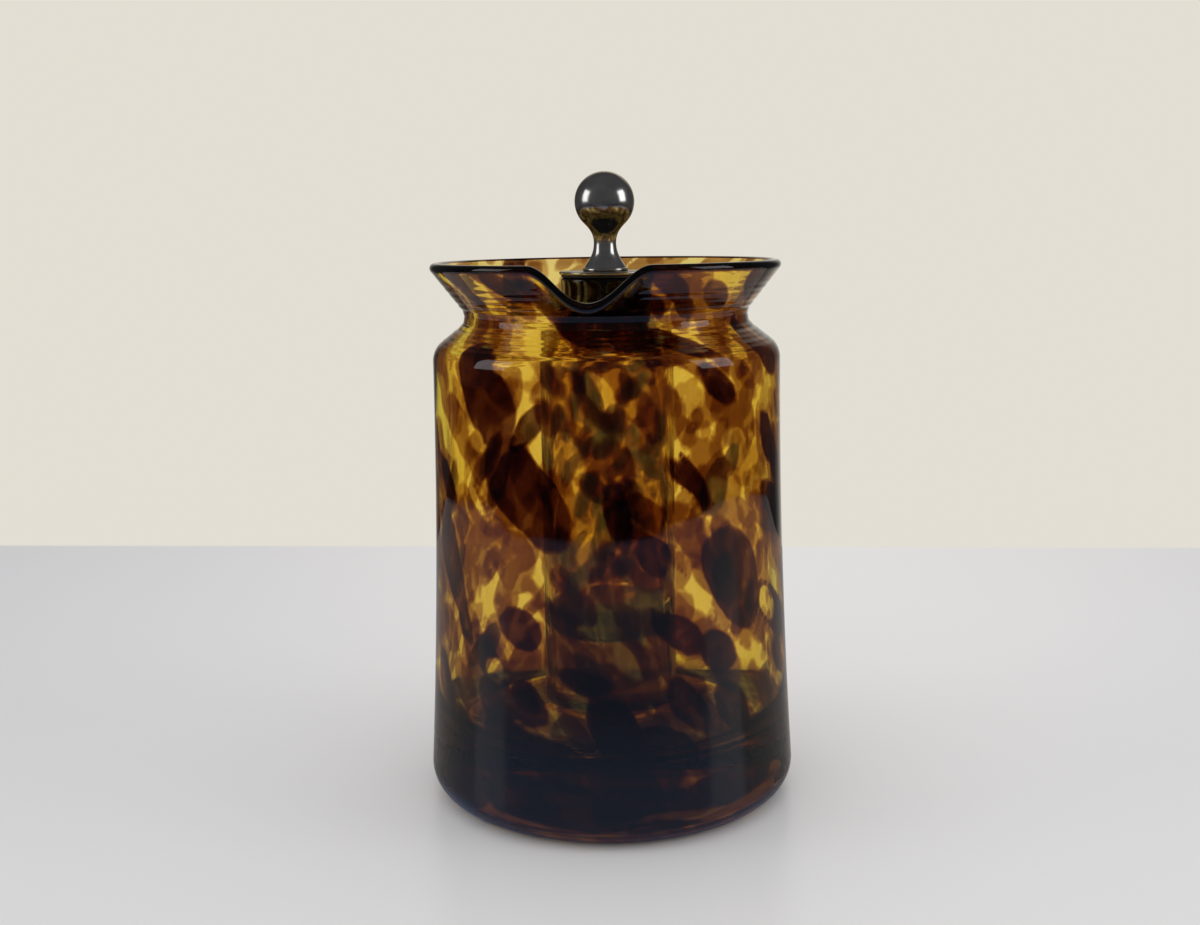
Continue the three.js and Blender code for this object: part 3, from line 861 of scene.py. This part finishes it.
def laminate(name, tint):
    """Smooth pale table top. In mirrors its colour is painted: painted shade that fades with distance in
    front and beyond its rim, and a painted cool light, bluer in front.
    """
    material, tree, shader, _ = new_material(name)
    place = add_node(tree, "ShaderNodeTexCoord").outputs["Object"]
    parts = add_node(tree, "ShaderNodeSeparateXYZ", {0: place})

    # Painted shade in mirrors: it fades with distance in front, and stays brighter at the sides and behind
    away = add_node(tree, "ShaderNodeVectorMath", {0: place}, operation="LENGTH").outputs["Value"]
    ahead = add_node(tree, "ShaderNodeMath", {0: parts.outputs["Y"], 1: away}, operation="DIVIDE")
    near = add_node(tree, "ShaderNodeMapRange", {
        "Value": away, "From Min": 0.1, "From Max": 0.32, "To Min": 0.78, "To Max": 0.4,
    }, interpolation_type="SMOOTHSTEP")
    aside = add_node(tree, "ShaderNodeMapRange", {
        "Value": ahead, "From Min": -0.85, "From Max": 0.05,
    }, interpolation_type="SMOOTHSTEP")
    level = add_node(tree, "ShaderNodeMix", {0: aside, 2: near, 3: 0.76})

    # Painted shade in mirrors: they show next to nothing of it beyond an oval rim
    oval = add_node(tree, "ShaderNodeVectorMath", {0: place, 1: (0.85, 1.0, 1.0)}, operation="MULTIPLY")
    reach = add_node(tree, "ShaderNodeVectorMath", {0: oval}, operation="LENGTH")
    rim = add_node(tree, "ShaderNodeMapRange", {
        "Value": reach.outputs["Value"], "From Min": 0.685, "From Max": 0.645, "To Min": 0.05,
    }, interpolation_type="SMOOTHSTEP")
    painted_mirror_shade = add_node(tree, "ShaderNodeMath", {0: level, 1: rim}, operation="MULTIPLY")

    # The eye sees it plain, and mirrors see it with painted shade and a painted cool light, bluer in front
    mirrored = mirror_ray(tree)
    shown = add_node(tree, "ShaderNodeMix", {0: mirrored, 2: 1.0, 3: painted_mirror_shade})
    painted_mirror_tint = add_node(tree, "ShaderNodeMix", {
        0: aside, 6: linear("B0C6EE"), 7: linear("B8B2AC")}, data_type="RGBA")
    seen = add_node(tree, "ShaderNodeMix", {0: mirrored, 6: tint, 7: painted_mirror_tint.outputs[2]}, data_type="RGBA")
    shade = add_node(tree, "ShaderNodeMix", {
        0: shown, 6: (0.0, 0.0, 0.0, 1.0), 7: seen.outputs[2]}, data_type="RGBA")
    faint = add_node(tree, "ShaderNodeMath", {0: painted_mirror_shade, 1: 0.28}, operation="MULTIPLY")
    gloss = add_node(tree, "ShaderNodeMix", {0: mirrored, 2: 0.45, 3: faint})
    polish = add_node(tree, "ShaderNodeMix", {0: mirrored, 2: 0.3, 3: 0.24})
    wire(tree, shader, {
        "Base Color": shade.outputs[2], "Specular IOR Level": gloss, "Roughness": polish})
    return material


def dark_cloth(name, tint):
    """Matt black studio cloth that swallows reflections."""
    material, tree, shader, _ = new_material(name)
    wire(tree, shader, {"Base Color": tint, "Roughness": 1.0})
    return material


def card(name, corners, faces, material):
    """Plain sheet or open box of the stage."""
    mesh = bpy.data.meshes.new(name)
    mesh.from_pydata(corners, [], faces)
    mesh.materials.append(material)
    sheet = bpy.data.objects.new(name, mesh)
    bpy.context.scene.collection.objects.link(sheet)
    return sheet


def soft_light(name, place, width, tall, power):
    """Large upright soft light turned to the object."""
    lamp = bpy.data.lights.new(name, "AREA")
    lamp.energy = power
    lamp.shape = "RECTANGLE"
    lamp.size = width
    lamp.size_y = tall
    lamp.color = (0.95, 0.97, 1.0)
    light = bpy.data.objects.new(name, lamp)
    light.location = place
    heading = Vector(LIGHT_TARGET) - Vector(place)
    light.rotation_euler = heading.to_track_quat("-Z", "Y").to_euler()
    bpy.context.scene.collection.objects.link(light)


class CARAFE_OT_stage(bpy.types.Operator):
    """Set the pale table, the soft lights, the pale background and the camera"""
    bl_idname = "carafe.stage"
    bl_label = "Stage"

    def execute(self, context):
        scene = context.scene
        looks = scene.carafe_finishes
        scene.view_settings.view_transform = "Standard"
        scene.cycles.max_bounces = 24
        scene.cycles.transmission_bounces = 24
        scene.cycles.glossy_bounces = 8

        # Table: smooth pale laminate, whose far edge stands where the background starts
        near, far, side = STAGE_NEAR, STAGE_FAR, STAGE_SIDE
        slant = side * math.tan(TABLE_SLANT)
        table = card("table", [
            (-side, near, 0.0), (side, near, 0.0),
            (side, TABLE_EDGE + slant, 0.0), (-side, TABLE_EDGE - slant, 0.0),
        ], [(0, 1, 2, 3)], laminate("pale laminate", looks.table))

        # Dark studio cards on the viewer's side, there only to be mirrored in glass and metal
        low, top = CARD_LOW, CARD_TOP
        cloth = dark_cloth("dark cloth", linear("3A3A3C"))
        walls = card("dark_cards", [
            (-side, near, low), (side, near, low), (side, near, top), (-side, near, top),
            (-side, far, low), (side, far, low), (side, far, top), (-side, far, top),
        ], [(0, 1, 2, 3), (0, 3, 7, 4), (1, 5, 6, 2), (3, 2, 6, 7)], cloth)
        for ray in ("camera", "diffuse", "transmission", "shadow"):
            setattr(walls, "visible_" + ray, False)

        # Background: pale for the eye and through glass, softer as a light, fading sideways in mirrors
        world = bpy.data.worlds.new("studio")
        scene.world = world
        world.use_nodes = True
        tree = world.node_tree
        tree.nodes.clear()
        path = add_node(tree, "ShaderNodeLightPath")
        shown = path.outputs["Is Camera Ray"]
        for ray in ("Is Glossy Ray", "Is Transmission Ray"):
            shown = add_node(tree, "ShaderNodeMath", {0: shown, 1: path.outputs[ray]}, operation="MAXIMUM")
        plain = add_node(tree, "ShaderNodeMapRange", {"Value": shown, "To Min": 0.9, "To Max": 1.0})
        heading = add_node(tree, "ShaderNodeTexCoord").outputs["Generated"]
        across = add_node(tree, "ShaderNodeSeparateXYZ", {0: heading}).outputs["X"]
        aside = add_node(tree, "ShaderNodeMath", {0: across}, operation="ABSOLUTE")
        fading = add_node(tree, "ShaderNodeMapRange", {
            "Value": aside, "From Min": 0.05, "From Max": 0.52, "To Min": 1.0, "To Max": 0.12,
        }, interpolation_type="SMOOTHSTEP")
        strength = add_node(tree, "ShaderNodeMix", {0: mirror_ray(tree), 2: plain, 3: fading})
        tone = add_node(tree, "ShaderNodeMix", {
            0: shown, 6: linear("FAFBFF"), 7: looks.backdrop}, data_type="RGBA")
        sky = add_node(tree, "ShaderNodeBackground", {"Color": tone.outputs[2], "Strength": strength})
        add_node(tree, "ShaderNodeOutputWorld", {"Surface": sky})

        for name, window in WINDOWS.items():
            soft_light(name, *window)

        # Camera: the photograph's place, slight lean and framing
        camera_data = bpy.data.cameras.new("camera")
        camera_data.sensor_width = SENSOR_WIDTH
        camera_data.lens = LENS_PIXELS / PHOTO_WIDTH * SENSOR_WIDTH
        camera_data.shift_x = (PHOTO_WIDTH / 2 - PRINCIPAL_X) / PHOTO_WIDTH
        camera_data.shift_y = (PRINCIPAL_Y - PHOTO_HEIGHT / 2) / PHOTO_WIDTH
        camera_data.clip_start = 0.01
        camera = bpy.data.objects.new("camera", camera_data)
        spin = Matrix.Rotation(CAMERA_AZIMUTH, 4, "Z")
        back = Matrix.Translation((0.0, -CAMERA_DISTANCE, CAMERA_HEIGHT))
        tip = Matrix.Rotation(math.pi / 2 - CAMERA_PITCH, 4, "X")
        lean = Matrix.Rotation(CAMERA_ROLL, 4, "Z")
        camera.matrix_world = spin @ back @ tip @ lean
        scene.collection.objects.link(camera)
        scene.camera = camera
        return {"FINISHED"}


class CARAFE_PT_panel(bpy.types.Panel):
    """Carafe tools in the 3D view's sidebar"""
    bl_idname = "CARAFE_PT_panel"
    bl_label = "Carafe"
    bl_space_type = "VIEW_3D"
    bl_region_type = "UI"
    bl_category = "Carafe"

    def draw(self, context):
        for step in STEPS:
            self.layout.operator(step.bl_idname)
        for group in GROUPS:
            box = self.layout.box()
            settings = getattr(context.scene, group)
            for name in settings.__annotations__:
                box.prop(settings, name)


GROUPS = {
    "carafe_jug": JugSizes,
    "carafe_tube": TubeSizes,
    "carafe_lid": LidSizes,
    "carafe_pattern": PatternSizes,
    "carafe_finishes": Finishes,
}
STEPS = (CARAFE_OT_jug, CARAFE_OT_ice_tube, CARAFE_OT_lid, CARAFE_OT_stage)


def register():
    """Registers the classes and hangs their settings on the scene."""
    for kind in (*GROUPS.values(), *STEPS, CARAFE_PT_panel):
        bpy.utils.register_class(kind)
    for name, kind in GROUPS.items():
        setattr(bpy.types.Scene, name, bpy.props.PointerProperty(type=kind))


def unregister():
    """Takes the settings and the classes away again."""
    for name in GROUPS:
        delattr(bpy.types.Scene, name)
    for kind in (CARAFE_PT_panel, *STEPS, *GROUPS.values()):
        bpy.utils.unregister_class(kind)


def main():
    register()
    bpy.ops.carafe.jug()
    bpy.ops.carafe.ice_tube()
    bpy.ops.carafe.lid()
    bpy.ops.carafe.stage()


if __name__ == "__main__":
    main()
